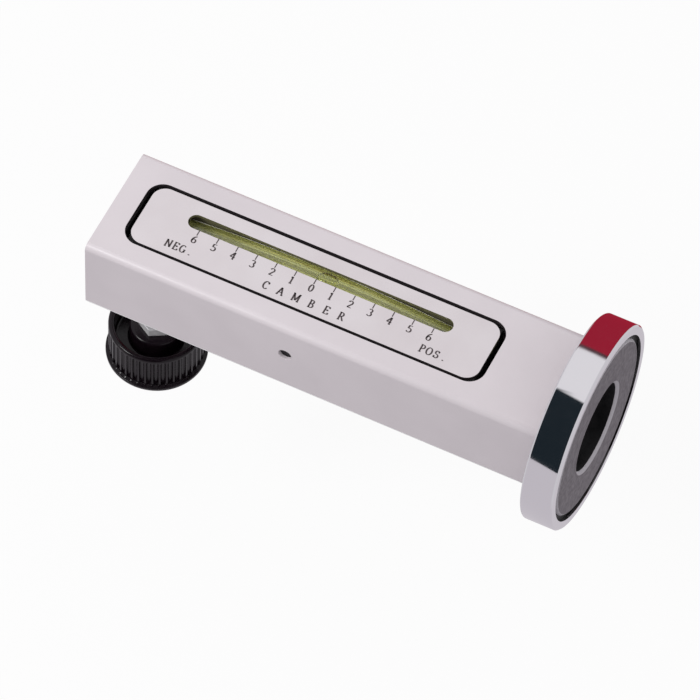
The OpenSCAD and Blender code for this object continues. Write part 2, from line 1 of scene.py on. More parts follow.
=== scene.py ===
# Looks of the camber caster gauge: finishes for the CAD pieces, and modelled pieces for
# what the CAD keeps plain: the knob, the screw's thread, the springs, the vials'
# liquid with its bubble, the plaster that beds the vials, and the printed scales.
import json
import math

import bmesh
import bpy
from mathutils import Euler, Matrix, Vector


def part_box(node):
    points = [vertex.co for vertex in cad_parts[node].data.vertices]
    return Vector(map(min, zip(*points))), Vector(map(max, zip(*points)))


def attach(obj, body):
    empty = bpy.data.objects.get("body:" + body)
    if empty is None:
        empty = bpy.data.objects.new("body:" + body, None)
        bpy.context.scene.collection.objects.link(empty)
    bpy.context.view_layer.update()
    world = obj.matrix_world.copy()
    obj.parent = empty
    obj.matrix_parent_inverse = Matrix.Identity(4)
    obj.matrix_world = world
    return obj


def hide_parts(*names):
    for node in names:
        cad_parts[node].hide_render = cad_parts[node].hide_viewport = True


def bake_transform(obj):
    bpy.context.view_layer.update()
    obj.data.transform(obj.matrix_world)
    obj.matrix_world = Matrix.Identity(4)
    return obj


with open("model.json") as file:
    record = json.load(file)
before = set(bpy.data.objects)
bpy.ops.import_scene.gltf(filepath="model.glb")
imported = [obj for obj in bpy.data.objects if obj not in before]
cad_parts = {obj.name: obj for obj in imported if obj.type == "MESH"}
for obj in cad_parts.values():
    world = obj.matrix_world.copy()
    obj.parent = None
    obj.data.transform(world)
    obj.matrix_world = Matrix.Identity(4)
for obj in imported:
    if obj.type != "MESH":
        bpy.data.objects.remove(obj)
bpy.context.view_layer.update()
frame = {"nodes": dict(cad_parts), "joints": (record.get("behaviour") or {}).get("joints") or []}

MM = 0.001
joints = {joint["name"]: joint for joint in frame["joints"]}
PIVOT_X = joints["carrier_tilt"]["pos_m"][0]
SCREW_X = joints["knob_turn"]["pos_m"][0]
# The camber vial's glass. The caster vial has the same middle across, and radius
GLASS_LOW, GLASS_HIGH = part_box("camber_vial_glass")
VIAL_Y = (GLASS_LOW.y + GLASS_HIGH.y) / 2
VIAL_R = (GLASS_HIGH.y - GLASS_LOW.y) / 2

# ---- Camera ----

# Place and turn of the camera that took the photograph, worked out from the edges of
# the tube and the cup in it
CAMERA_PLACE = (0.39749, -1.07988, 1.72036)
CAMERA_TURN_DEG = (34.2614, -1.3749, 26.0026)
CAMERA_LENS_MM = 352.95


def place_camera():
    data = bpy.data.cameras.new("camera")
    data.lens = CAMERA_LENS_MM
    data.sensor_fit = "HORIZONTAL"
    data.sensor_width = 36
    data.clip_end = 20
    camera = bpy.data.objects.new("camera", data)
    camera.location = CAMERA_PLACE
    camera.rotation_euler = Euler([math.radians(a) for a in CAMERA_TURN_DEG])
    bpy.context.scene.collection.objects.link(camera)
    bpy.context.scene.camera = camera


# ---- Colours, nodes and patterns ----


def srgb(hex_colour, alpha=1.0):
    """Linear colour, with alpha, of an sRGB hex value."""
    channels = [int(hex_colour[i:i + 2], 16) / 255 for i in (1, 3, 5)]
    linear = [c / 12.92 if c <= 0.04045 else ((c + 0.055) / 1.055) ** 2.4 for c in channels]
    return linear + [alpha]


def add(tree, kind, inputs=None, stops=(), **settings):
    """Adds a node. inputs maps a socket to a value, or to the output that feeds it."""
    node = tree.nodes.new(kind)
    for name, value in settings.items():
        setattr(node, name, value)
    for i, (place, colour) in enumerate(stops):
        elements = node.color_ramp.elements
        element = elements[i] if i < 2 else elements.new(place)
        element.position = place
        element.color = colour
    for socket, value in (inputs or {}).items():
        if isinstance(value, bpy.types.NodeSocket):
            tree.links.new(value, node.inputs[socket])
        else:
            node.inputs[socket].default_value = value
    return node


def start(name, colour, roughness, metallic=0.0, **sockets):
    """A material whose constants sit on its Principled shader."""
    material = bpy.data.materials.new(name)
    material.use_nodes = True
    shader = material.node_tree.nodes["Principled BSDF"]
    shader.inputs["Base Color"].default_value = srgb(colour)
    shader.inputs["Roughness"].default_value = roughness
    shader.inputs["Metallic"].default_value = metallic
    for socket, value in sockets.items():
        shader.inputs[socket.replace("_", " ").title().replace("Ior", "IOR")].default_value = value
    return material, material.node_tree, shader


def grain(tree, size_mm, stretch=(1, 1, 1), detail=2.0):
    """Noise fixed to the piece, with features of about size_mm, drawn out by stretch."""
    place = add(tree, "ShaderNodeTexCoord")
    scaled = add(tree, "ShaderNodeMapping", {
        "Vector": place.outputs["Object"], "Scale": [1 / (size_mm * MM * s) for s in stretch]})
    noise = add(tree, "ShaderNodeTexNoise", {
        "Vector": scaled.outputs["Vector"], "Scale": 1.0, "Detail": detail})
    return noise.outputs["Fac"]


def tint(tree, shader, pattern, dark, light):
    """Colour between two shades by a pattern."""
    ramp = add(tree, "ShaderNodeValToRGB", {"Fac": pattern}, stops=[(0.3, srgb(dark)), (0.7, srgb(light))])
    tree.links.new(ramp.outputs["Color"], shader.inputs["Base Color"])


def vary_gloss(tree, shader, pattern, low, high):
    """Roughness between two values by a pattern."""
    rough = add(tree, "ShaderNodeMapRange", {
        "Value": pattern, "From Min": 0.3, "From Max": 0.7, "To Min": low, "To Max": high})
    tree.links.new(rough.outputs["Result"], shader.inputs["Roughness"])


def relief(tree, shader, pattern, height_mm, strength=1.0):
    """Raises the surface by a pattern."""
    bump = add(tree, "ShaderNodeBump", {"Height": pattern, "Distance": height_mm * MM, "Strength": strength})
    tree.links.new(bump.outputs["Normal"], shader.inputs["Normal"])


def surface(tree):
    """Place and facing of a surface in its piece's own frame, each split into X, Y and Z."""
    own_frame = add(tree, "ShaderNodeTexCoord")
    return [add(tree, "ShaderNodeSeparateXYZ", {"Vector": own_frame.outputs[name]}).outputs
            for name in ("Object", "Normal")]


def from_x_axis(tree):
    """Distance of a surface from the X axis, which is the magnet's own."""
    own_frame = add(tree, "ShaderNodeTexCoord")
    across = add(tree, "ShaderNodeVectorMath", {
        0: own_frame.outputs["Object"], 1: (0, 1, 1)}, operation="MULTIPLY")
    length = add(tree, "ShaderNodeVectorMath", {0: across.outputs["Vector"]}, operation="LENGTH")
    return length.outputs["Value"]


def inside(tree, value, low, high):
    """1 where a value lies between two limits, and 0 elsewhere."""
    return add(tree, "ShaderNodeMath", {0: value, 1: (low + high) / 2, 2: (high - low) / 2},
               operation="COMPARE").outputs[0]


def product(tree, shares):
    """All shares multiplied, so 1 where every one of them is 1."""
    total = shares[0]
    for share in shares[1:]:
        total = add(tree, "ShaderNodeMath", {0: total, 1: share}, operation="MULTIPLY").outputs[0]
    return total


def paint_over(tree, shader, colour, share):
    """Lays another colour over the finish's own, as far as share says."""
    base = shader.inputs["Base Color"]
    own = base.links[0].from_socket if base.links else list(base.default_value)
    mixed = add(tree, "ShaderNodeMixRGB", {"Fac": share, "Color1": own, "Color2": srgb(colour)})
    tree.links.new(mixed.outputs["Color"], base)


def let_light_through(material, colour):
    """Lets light straight through a clear surface onto what is behind it, which is then
    lit evenly and without speckles."""
    tree = material.node_tree
    rays = add(tree, "ShaderNodeLightPath")
    clear = add(tree, "ShaderNodeBsdfTransparent", {"Color": srgb(colour)})
    shown = tree.nodes["Principled BSDF"].outputs["BSDF"]
    for lighting in ("Is Diffuse Ray", "Is Shadow Ray"):
        mixed = add(tree, "ShaderNodeMixShader", {
            0: rays.outputs[lighting], 1: shown, 2: clear.outputs["BSDF"]})
        shown = mixed.outputs[0]
    tree.links.new(shown, tree.nodes["Material Output"].inputs["Surface"])


# ---- Finishes ----

# Which way a surface faces, as a range of one part of its normal: Z for upright walls and
# for the tube's painted corner highlight, X for the cup's painted-shade wall, the ring's painted-highlight
# bevels and painted-shade bore
UPRIGHT = (-0.5, 0.5)
CORNER_HIGHLIGHT_FACING = (-0.97, 0.2)
CUP_WALL_FACING = (-0.6, 0.6)
BEVEL_HIGHLIGHT_FACING = (0.3, 0.93)
BORE_SHADE_FACING = (-0.3, 0.3)
# Painted shade: a dark grey laid on the windows' cut walls and the plates' edges, for the shade in the gaps
# round the scale plates
GAP_SHADE = "#3A3437"
# How far past the scale plate the windows' walls with their painted shade can lie, how far
# from the vial's middle the slot's walls, and how far past the glass the walls of its trough
GAP_SHADE_REACH = 3.0 * MM
SLOT_WALL_REACH = 3.0 * MM
TROUGH_REACH = 0.6 * MM
# Height of the painted highlight along the tube's lower corners
CORNER_HIGHLIGHT_H = 1.8 * MM
# How far past the potting the cup's inner wall is painted near black, as painted shade
INNER_SHADE_REACH = 0.1 * MM


def satin_enamel():
    """Stoved satin enamel on steel: pale warm grey, even, with a soft broad sheen and a
    faint orange peel about 1.5 mm across."""
    material, tree, shader = start("satin_enamel", "#DED6DB", 0.38, specular_ior_level=0.45)
    tint(tree, shader, grain(tree, 22), "#DBD3D8", "#E1D9DE")
    vary_gloss(tree, shader, grain(tree, 6), 0.34, 0.44)
    relief(tree, shader, grain(tree, 1.5), 0.010)
    place, facing = surface(tree)
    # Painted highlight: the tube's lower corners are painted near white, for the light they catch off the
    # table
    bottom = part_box("body_tube")[0].z
    paint_over(tree, shader, "#FFFDFE", product(tree, [
        inside(tree, place["Z"], bottom, bottom + CORNER_HIGHLIGHT_H), inside(tree, facing["Z"], *CORNER_HIGHLIGHT_FACING)]))
    # Painted shade: the windows' cut walls are painted dark, for the shade in the gaps round the scale plates
    low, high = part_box("camber_scale_plate")
    paint_over(tree, shader, GAP_SHADE, product(tree, [
        inside(tree, place["X"], low.x - GAP_SHADE_REACH, high.x + GAP_SHADE_REACH),
        inside(tree, place["Y"], low.y - GAP_SHADE_REACH, high.y + GAP_SHADE_REACH),
        inside(tree, facing["Z"], *UPRIGHT)]))
    return material


def plate_enamel():
    """The same enamel on the scale plates, a little flatter because it is screen printed.
    Its edges are painted dark, as painted shade."""
    material, tree, shader = start("plate_enamel", "#DDD6DA", 0.45, specular_ior_level=0.4)
    tint(tree, shader, grain(tree, 15), "#DAD2D6", "#E0D9DD")
    vary_gloss(tree, shader, grain(tree, 5), 0.40, 0.50)
    relief(tree, shader, grain(tree, 1.2), 0.006)
    # Painted shade and light: the plate's edges are painted dark for the shade in the gaps round it, and the
    # slot's walls dark olive for the spirit-tinted light and shade on them
    place, facing = surface(tree)
    edges = inside(tree, facing["Z"], *UPRIGHT)
    paint_over(tree, shader, GAP_SHADE, edges)
    paint_over(tree, shader, "#6E6B4D", product(tree, [
        edges, inside(tree, place["Y"], VIAL_Y - SLOT_WALL_REACH, VIAL_Y + SLOT_WALL_REACH)]))
    return material


def printing_ink():
    """Screen printed ink: matt warm black, thin enough for the enamel's grain to show."""
    material, tree, shader = start("printing_ink", "#4A4143", 0.6)
    tint(tree, shader, grain(tree, 0.4), "#41383A", "#574E50")
    return material


def cap_plastic():
    """Injection moulded ABS: black, with a fine spark-eroded grain."""
    material, tree, shader = start("cap_plastic", "#1E1D1F", 0.5)
    tint(tree, shader, grain(tree, 3), "#1B1A1C", "#222123")
    relief(tree, shader, grain(tree, 0.35), 0.02)
    return material


def carrier_plastic():
    """Glass-filled nylon: matt black, slightly mottled by the fibres."""
    material, tree, shader = start("glass_filled_nylon", "#161416", 0.62)
    tint(tree, shader, grain(tree, 1.2, (3, 1, 1)), "#121012", "#1C1A1C")
    relief(tree, shader, grain(tree, 0.6, (4, 1, 1)), 0.012)
    # Painted light: the walls of the vials' troughs are painted olive, for the spirit-tinted light on them
    place, facing = surface(tree)
    paint_over(tree, shader, "#77745A", product(tree, [
        inside(tree, place["X"], GLASS_LOW.x, GLASS_HIGH.x),
        inside(tree, place["Y"], GLASS_LOW.y - TROUGH_REACH, GLASS_HIGH.y + TROUGH_REACH),
        inside(tree, facing["Z"], *UPRIGHT)]))
    return material


def phenolic_knob():
    """Compression moulded phenolic: deep brown-black, polished by the mould, with a soft
    unevenness in its gloss."""
    material, tree, shader = start("phenolic_knob", "#150D13", 0.2, specular_ior_level=0.27)
    tint(tree, shader, grain(tree, 4), "#0F080D", "#181016")
    vary_gloss(tree, shader, grain(tree, 2.5), 0.14, 0.24)
    relief(tree, shader, grain(tree, 1.4), 0.012)
    return material


def polished_chrome():
    """Bright chrome plate on a drawn steel cup: mirror-like, with a slight waviness from
    the drawing and hardly any scratches. Its inner wall is painted near black and not metal, as painted
    shade."""
    material, tree, shader = start("polished_chrome", "#E9E8EB", 0.05, metallic=1.0)
    vary_gloss(tree, shader, grain(tree, 5), 0.04, 0.09)
    relief(tree, shader, grain(tree, 7), 0.010)
    facing = surface(tree)[1]
    # Painted shade: the inner wall, out past the potting, is near black and not metal
    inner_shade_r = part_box("magnet_potting")[1].y + INNER_SHADE_REACH
    resin = product(tree, [
        inside(tree, from_x_axis(tree), 0, inner_shade_r), inside(tree, facing["X"], *CUP_WALL_FACING)])
    paint_over(tree, shader, "#0B0A0C", resin)
    bare = add(tree, "ShaderNodeMath", {0: 1.0, 1: resin}, operation="SUBTRACT")
    tree.links.new(bare.outputs[0], shader.inputs["Metallic"])
    return material


def sintered_ferrite():
    """Ground ceramic ferrite: dark warm grey and matt, with grains and tiny pits. The
    bevels are painted pale as a painted highlight, and the bore near black: fired ferrite is darker, and the
    rest is painted shade in the deep bore."""
    material, tree, shader = start("sintered_ferrite", "#6A646A", 0.5, specular_ior_level=0.35)
    tint(tree, shader, grain(tree, 1.3, detail=4.0), "#5C545C", "#7A747A")
    vary_gloss(tree, shader, grain(tree, 2.5), 0.42, 0.6)
    relief(tree, shader, grain(tree, 0.5, detail=4.0), 0.02)
    facing = surface(tree)[1]["X"]
    # Painted highlight on the bevels, and near black in the bore, partly painted shade
    paint_over(tree, shader, "#C4BFC6", inside(tree, facing, *BEVEL_HIGHLIGHT_FACING))
    paint_over(tree, shader, "#070608", inside(tree, facing, *BORE_SHADE_FACING))
    return material


def potting_resin():
    """Cast epoxy between ring and cup: black, with the wavy surface of a poured resin."""
    material, tree, shader = start("potting_resin", "#0B0A0C", 0.5, specular_ior_level=0.2)
    tint(tree, shader, grain(tree, 2), "#080709", "#0F0D10")
    relief(tree, shader, grain(tree, 2.2), 0.03)
    return material


def milled_aluminium():
    """Milled aluminium block: pale grey metal with fine tool lines across it."""
    material, tree, shader = start("milled_aluminium", "#C3C5C9", 0.35, metallic=1.0)
    vary_gloss(tree, shader, grain(tree, 1.0, (0.3, 6, 6)), 0.28, 0.45)
    relief(tree, shader, grain(tree, 0.6, (0.5, 12, 12)), 0.006)
    return material


def zinc_plate():
    """Bright zinc plate: pale metal with a cloudy, slightly blue passivation."""
    material, tree, shader = start("zinc_plate", "#C4C8CE", 0.3, metallic=1.0)
    tint(tree, shader, grain(tree, 2.5), "#B9BFC8", "#D0D2D5")
    vary_gloss(tree, shader, grain(tree, 1.2), 0.24, 0.40)
    return material


def dull_nickel():
    """Nickel plate made pale, soft and nearly white, with little metal: painted light, so that the jam nut
    looks lit in the tube's shade.
    """
    material, tree, shader = start("dull_nickel", "#E6E4E6", 0.45, metallic=0.35)
    tint(tree, shader, grain(tree, 2), "#DEDCDF", "#EEECEE")
    vary_gloss(tree, shader, grain(tree, 1), 0.38, 0.5)
    return material


def blackened_steel():
    """Black oxide on steel: blue-black with a dull metal sheen."""
    material, tree, shader = start("blackened_steel", "#1A191C", 0.45, metallic=0.6)
    tint(tree, shader, grain(tree, 1.5), "#141316", "#222024")
    vary_gloss(tree, shader, grain(tree, 0.8), 0.36, 0.5)
    return material


def spring_wire():
    """Drawn spring steel wire: grey metal with fine die lines and a trace of oil."""
    material, tree, shader = start("spring_wire", "#9B9BA0", 0.32, metallic=1.0)
    tint(tree, shader, grain(tree, 1.5), "#8F8F95", "#A8A8AC")
    vary_gloss(tree, shader, grain(tree, 0.7), 0.26, 0.42)
    return material


def turned_brass():
    """Turned brass: yellow metal with the lathe's fine rings and a slight tarnish."""
    material, tree, shader = start("turned_brass", "#D2AE66", 0.28, metallic=1.0)
    tint(tree, shader, grain(tree, 2), "#C49F58", "#DCBB78")
    vary_gloss(tree, shader, grain(tree, 0.6, (3, 3, 0.4)), 0.22, 0.38)
    return material


def vial_glass():
    """Drawn glass tube of a spirit level: clear and perfectly smooth."""
    material, tree, shader = start("vial_glass", "#FCFEFB", 0.0, ior=1.50, transmission_weight=1.0)
    relief(tree, shader, grain(tree, 12), 0.004)
    let_light_through(material, "#FFFFFF")
    return material


def vial_spirit():
    """Dyed level spirit: clear yellow-green."""
    material, tree, shader = start("vial_spirit", "#EFF1C4", 0.0, ior=1.36, transmission_weight=1.0)
    tint(tree, shader, grain(tree, 8), "#ECEEBE", "#F2F4CA")
    let_light_through(material, "#F8F8E4")
    return material


# Spacing of the painted streaks of light and shade on the plaster, where they start, and how far they wander,
# in radians
STREAK_PITCH = 0.78 * MM
STREAK_START = 1.5
STREAK_WANDER = 4.0


def bedding_plaster(across_axis):
    """Plaster that beds the vials: chalky off-white, with painted light and dark streaks along
    the vial for the lines of light that the glass and spirit make. across_axis runs across the vial."""
    material, tree, shader = start("bedding_plaster", "#EFEDDD", 0.85)
    # Painted light and shade: streaks along the vial, for the lines that the glass and spirit bend light into
    across = add(tree, "ShaderNodeMath", {
        0: surface(tree)[0][across_axis], 1: 2 * math.pi / STREAK_PITCH, 2: STREAK_START},
        operation="MULTIPLY_ADD")
    wander = add(tree, "ShaderNodeMath", {
        0: grain(tree, 1.0, (30, 1, 1)), 1: STREAK_WANDER, 2: across.outputs[0]},
        operation="MULTIPLY_ADD")
    streaks = add(tree, "ShaderNodeMath", {0: wander.outputs[0]}, operation="SINE")
    share = add(tree, "ShaderNodeMapRange", {"Value": streaks.outputs[0], "From Min": -1.0, "From Max": 1.0})
    tint(tree, shader, share.outputs["Result"], "#C2BFA2", "#FFFDF2")
    relief(tree, shader, grain(tree, 0.7), 0.04)
    return material


def plug_rubber():
    """Moulded rubber plug: matt black."""
    material, tree, shader = start("plug_rubber", "#18181A", 0.75)
    tint(tree, shader, grain(tree, 0.8), "#141416", "#1E1E20")
    return material


def shoe_nylon():
    """Turned natural nylon: milky off-white, waxy."""
    material, tree, shader = start("shoe_nylon", "#E4E1D3", 0.42, subsurface_weight=0.2)
    tint(tree, shader, grain(tree, 2), "#DEDBCB", "#E9E7DB")
    vary_gloss(tree, shader, grain(tree, 1), 0.38, 0.5)
    return material


# The record's material slots and their finishes
FINISHES = {
    "painted_tube": satin_enamel, "painted_plate": plate_enamel, "black_cap": cap_plastic,
    "carrier_plastic": carrier_plastic, "knob_plastic": phenolic_knob,
    "chrome_cup": polished_chrome, "ferrite": sintered_ferrite, "potting": potting_resin,
    "aluminium_block": milled_aluminium, "zinc_steel": zinc_plate,
    "black_steel": blackened_steel, "spring_steel": spring_wire, "brass": turned_brass,
    "clear_glass": vial_glass, "vial_liquid": vial_spirit, "black_rubber": plug_rubber,
    "nylon": shoe_nylon,
}
materials = {slot: finish() for slot, finish in FINISHES.items()}
ink = printing_ink()
plaster = bedding_plaster("Y")


def dress_cad_nodes():
    """Gives every CAD node the finish of its material slot."""
    for node in frame["nodes"].values():
        for place in node.material_slots:
            place.material = materials[place.material.name.split(".")[0]]
    # Painted light: the jam nut takes a pale copy of the plating, so that it looks lit in the tube's shade
    frame["nodes"]["jam_nut"].material_slots[0].material = dull_nickel()


# Rounding of the CAD pieces' sharp edges, in millimetres
EDGE_ROUNDING = {
    "body_tube": 0.25, "camber_scale_plate": 0.2, "caster_scale_plate": 0.2, "end_cap": 0.25,
    "mount_block": 0.3, "bush_nut": 0.25, "jam_nut": 0.25, "adjuster_bush": 0.15,
    "carrier_frame": 0.25, "magnet_cup": 0.15, "magnet_ring": 0.15,
}
# Points of a CAD mesh that lie closer than this are one point
WELD_REACH = 0.002 * MM


def round_edges():
    """Breaks sharp CAD edges, as tumbling, plating and paint do."""
    for name, width in EDGE_ROUNDING.items():
        node = frame["nodes"][name]
        weld = node.modifiers.new("weld", "WELD")
        weld.merge_threshold = WELD_REACH
        bevel = node.modifiers.new("edges", "BEVEL")
        bevel.width = width * MM
        bevel.segments = 3
        bevel.limit_method = "ANGLE"
        bevel.angle_limit = math.radians(40)
        bevel.harden_normals = True


# ---- Shapes ----


def make_piece(name, points, faces, material, body=None, sharp_deg=35):
    """A mesh object in metres, smooth except at edges sharper than sharp_deg."""
    mesh = bpy.data.meshes.new(name)
    mesh.from_pydata([Vector(p) for p in points], [], faces)
    work = bmesh.new()
    work.from_mesh(mesh)
    bmesh.ops.recalc_face_normals(work, faces=work.faces)
    work.to_mesh(mesh)
    work.free()
    mesh.shade_smooth()
    mesh.set_sharp_from_angle(angle=math.radians(sharp_deg))
    mesh.materials.append(material)
    piece = bpy.data.objects.new(name, mesh)
    bpy.context.scene.collection.objects.link(piece)
    if body:
        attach(piece, body)
    return piece


def skin(rings):
    """Faces over rings of equally many points, with a cap on the first and the last."""
    count = len(rings[0])
    faces = []
    for a in range(0, (len(rings) - 1) * count, count):
        b = a + count
        faces += [(a + j, a + (j + 1) % count, b + (j + 1) % count, b + j) for j in range(count)]
    faces.append(list(range(count))[::-1])
    faces.append([b + j for j in range(count)])
    return faces


def flat(rings):
    """The points of all rings in one list."""
    return [point for ring in rings for point in ring]


def turned(profile, x, steps):
    """Rings round the vertical axis at x for a profile of (radius, height)."""
    return [[(x + r * math.cos(2 * math.pi * j / steps), r * math.sin(2 * math.pi * j / steps), z)
             for j in range(steps)] for r, z in profile]


# ---- Knob ----

KNOB_FLUTES = 42
FLUTE_R = 0.8 * MM
# Deeper than the 0.5 mm of the CAD's knob, where the flutes looked too faint
FLUTE_DEPTH = 0.75 * MM
# From the tops of the half balls that end the flutes up to the rim
FLUTE_TOP = 1.2 * MM
STEPS_PER_FLUTE = 16
SKIRT_H = 2.0 * MM
SHOULDER_H = 0.5 * MM
SKIRT_STEP = 0.9 * MM
SKIRT_EDGE_R = 1.2 * MM
SKIRT_TOP_R = 0.25 * MM
RIM_EDGE_R = 0.95 * MM
HUB_EDGE_R = 1.0 * MM
RIM_T = 2.0 * MM
HOLLOW = 8.0 * MM
HOLLOW_FILLET_R = 0.8 * MM
HUB_R = 8.5 * MM
HUB_BELOW_RIM = 0.8 * MM
# Radii of the rings of the flat underside, and the step in height that starts the flutes
UNDERSIDE_R = (0.5 * MM, 6 * MM)
SHARP = 0.04 * MM
# Heights of the rings of a flute's half ball, as shares of its height
BALL_RINGS = (0, 0.25, 0.45, 0.62, 0.76, 0.87, 0.95, 1.0)


def rounded(corner, radius, before, after, steps=5):
    """Points of an arc that rounds a corner of a profile, between unit directions."""
    corner, before, after = Vector(corner), Vector(before), Vector(after)
    centre = corner + radius * (before + after)
    return [tuple(centre - radius * (math.cos(t) * after + math.sin(t) * before))
            for t in [math.pi / 2 * i / steps for i in range(steps + 1)]]


def make_knob():
    """The moulded knob: a smooth skirt, round flutes above it that end in half balls
    below the rim, and a hub in its hollow."""
    low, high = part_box("knob")
    radius = (high.y - low.y) / 2
    top_r = radius - SKIRT_STEP
    hub_top = high.z - HUB_BELOW_RIM
    stud_r = (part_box("adjuster_stud")[1].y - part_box("adjuster_stud")[0].y) / 2
    steps = KNOB_FLUTES * STEPS_PER_FLUTE
    flute_low = low.z + SKIRT_H + SHOULDER_H
    centre_in = FLUTE_R - FLUTE_DEPTH
    half_w = math.sqrt(FLUTE_R ** 2 - centre_in ** 2)
    ball_z = high.z - FLUTE_TOP - half_w
    pitch = 2 * math.pi * top_r / KNOB_FLUTES

    def fluted(z):
        """Ring of the fluted wall at a height."""
        above = max(z - ball_z, 0)
        ring = []
        for j in range(steps):
            aside = (j / STEPS_PER_FLUTE % 1 - 0.5) * pitch
            depth = math.sqrt(max(FLUTE_R ** 2 - aside ** 2 - above ** 2, 0)) - centre_in
            reach = top_r - max(depth, 0)
            turn = 2 * math.pi * j / steps
            ring.append((SCREW_X + reach * math.cos(turn), reach * math.sin(turn), z))
        return ring

    skirt = [(r, low.z) for r in (*UNDERSIDE_R, radius - 2 * SKIRT_EDGE_R)]
    skirt += rounded((radius, low.z), SKIRT_EDGE_R, (-1, 0), (0, 1))
    skirt += rounded((radius, low.z + SKIRT_H), SKIRT_TOP_R, (0, -1), (-1, 0))
    skirt += [(top_r, flute_low - SHARP)]
    rim = rounded((top_r, high.z), RIM_EDGE_R, (0, -1), (-1, 0))
    rim += rounded((top_r - RIM_T, high.z), RIM_EDGE_R, (1, 0), (0, -1))
    rim += rounded((top_r - RIM_T, high.z - HOLLOW), HOLLOW_FILLET_R, (0, 1), (-1, 0))
    rim += rounded((HUB_R, high.z - HOLLOW), HOLLOW_FILLET_R, (1, 0), (0, 1))
    rim += rounded((HUB_R, hub_top), HUB_EDGE_R, (0, -1), (-1, 0))
    rim += [(stud_r, hub_top)]
    wall = [flute_low + SHARP, flute_low + 1 * MM, (flute_low + ball_z) / 2]
    wall += [ball_z + half_w * share for share in BALL_RINGS]
    rings = turned(skirt, SCREW_X, steps) + [fluted(z) for z in wall] + turned(rim, SCREW_X, steps)
    knob = make_piece(
        "fluted_knob", flat(rings), skin(rings), materials["knob_plastic"], "knob")
    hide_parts("knob")


# ---- Screw and springs ----

THREAD_PITCH = 1.0 * MM
THREAD_DEPTH = 0.61 * MM
# Slope of the thread's flanks, in depths per pitch, and half the width of its flat root
FLANK_SLOPE = 2.6
ROOT_HALF = 0.45 / FLANK_SLOPE
# Length over which the thread fades in and out, and the share of its height at each end
RUN_OUT = 0.8 * MM
FIRST_SHARE = 0.2
LAST_SHARE = 0.1
# The thread ends this far below the shoe, and the tip is stepped in and chamfered
NECK = 0.1 * MM
TIP_STEP = 1.0 * MM
TIP_CHAMFER = 0.2 * MM


def make_screw():
    """The adjusting screw with its rolled metric thread and a plain tip in the shoe."""
    low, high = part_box("adjuster_stud")
    radius = (high.y - low.y) / 2
    shoe_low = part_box("thrust_shoe")[0].z
    steps, per_pitch = 32, 10
    rings = []
    count = int((shoe_low - low.z) / THREAD_PITCH * per_pitch)
    for i in range(count + 1):
        z = low.z + (shoe_low - NECK - low.z) * i / count
        ring = []
        for j in range(steps):
            turn = 2 * math.pi * j / steps
            phase = (z / THREAD_PITCH - j / steps) % 1
            crest = min(max((abs(phase - 0.5) - ROOT_HALF) * FLANK_SLOPE, 0), 1)
            ends = min(1, (z - low.z) / RUN_OUT + FIRST_SHARE, (shoe_low - z) / RUN_OUT + LAST_SHARE)
            r = radius - THREAD_DEPTH * (1 - crest * ends)
            ring.append((SCREW_X + r * math.cos(turn), r * math.sin(turn), z))
        rings.append(ring)
    tip_r = radius - TIP_STEP
    rings += turned([
        (tip_r, shoe_low - NECK / 2), (tip_r, high.z - TIP_CHAMFER), (tip_r - TIP_CHAMFER, high.z)],
        SCREW_X, steps)
    screw = make_piece(
        "threaded_screw", flat(rings), skin(rings), materials["zinc_steel"], "knob")
    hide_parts("adjuster_stud")


ADJUSTER_WIRE_D = 1.0 * MM
ADJUSTER_TURNS = 7.5
RETURN_WIRE_D = 0.7 * MM
RETURN_TURNS = 6
# Rise of the close turn at each end of a spring, in wire radii
CLOSE_RISE = 2.16


def coil(x, z0, z1, mean_r, wire_r, turns):
    """Rings of a compression spring's wire, with a close turn at each end."""
    per_turn, sides = 40, 12
    count = int(turns * per_turn)
    close = CLOSE_RISE * wire_r
    rise = (z1 - z0 - 2 * wire_r - 2 * close) / (turns - 2)
    rings = []
    for i in range(count + 1):
        t = i / per_turn
        if t < 1:
            z = close * t
        elif t > turns - 1:
            z = z1 - z0 - 2 * wire_r - close * (turns - t)
        else:
            z = close + rise * (t - 1)
        turn = 2 * math.pi * t
        ring = []
        for j in range(sides):
            a = 2 * math.pi * j / sides
            r = mean_r + wire_r * math.cos(a)
            height = z0 + wire_r + z + wire_r * math.sin(a)
            ring.append((x + r * math.cos(turn), r * math.sin(turn), height))
        rings.append(ring)
    return rings


def make_spring(name, node, wire_d, turns):
    """A coiled spring that spans the gap between the two bodies at its ends."""
    low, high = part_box(node)
    x = (low.x + high.x) / 2
    mean_r = (high.y - low.y) / 2 - wire_d / 2
    rings = coil(x, low.z, high.z, mean_r, wire_d / 2, turns)
    spring = make_piece(name, flat(rings), skin(rings), materials["spring_steel"])
    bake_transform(spring)
    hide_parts(node)


# ---- Vials ----

VIAL_WALL = 1.0 * MM
# Height of the middle of the bent vial at its highest point
VIAL_CROWN = GLASS_HIGH.z - VIAL_R
# Spacing of the scales' marks along the vials
CAMBER_PER_DEGREE = 6.6 * MM
CASTER_PER_DEGREE = 4.5 * MM
# What the camber bubble reads, in degrees
CAMBER_READING = 0.4
PLUG_L = 3.0 * MM
# The spirit reaches this far into the glass, so that no air shows between them
WETTED = 0.02 * MM


def bent_point(along, out, across, bend_r, side):
    """Place of a point given by its way along a bent vial, out from the vial's middle
    towards the scale plate, and across. side is 1 above the carrier and -1 below it."""
    turn = along / bend_r
    reach = bend_r + out
    return (PIVOT_X + reach * math.sin(turn), VIAL_Y + across,
            side * (VIAL_CROWN - bend_r + reach * math.cos(turn)))


def bend_and_half_length(glass, per_degree):
    """Radius of a vial's bend, and half its length along the bend."""
    low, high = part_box(glass)
    bend_r = per_degree * 180 / math.pi
    return bend_r, bend_r * math.asin((high.x - low.x) / 2 / (bend_r + VIAL_R))


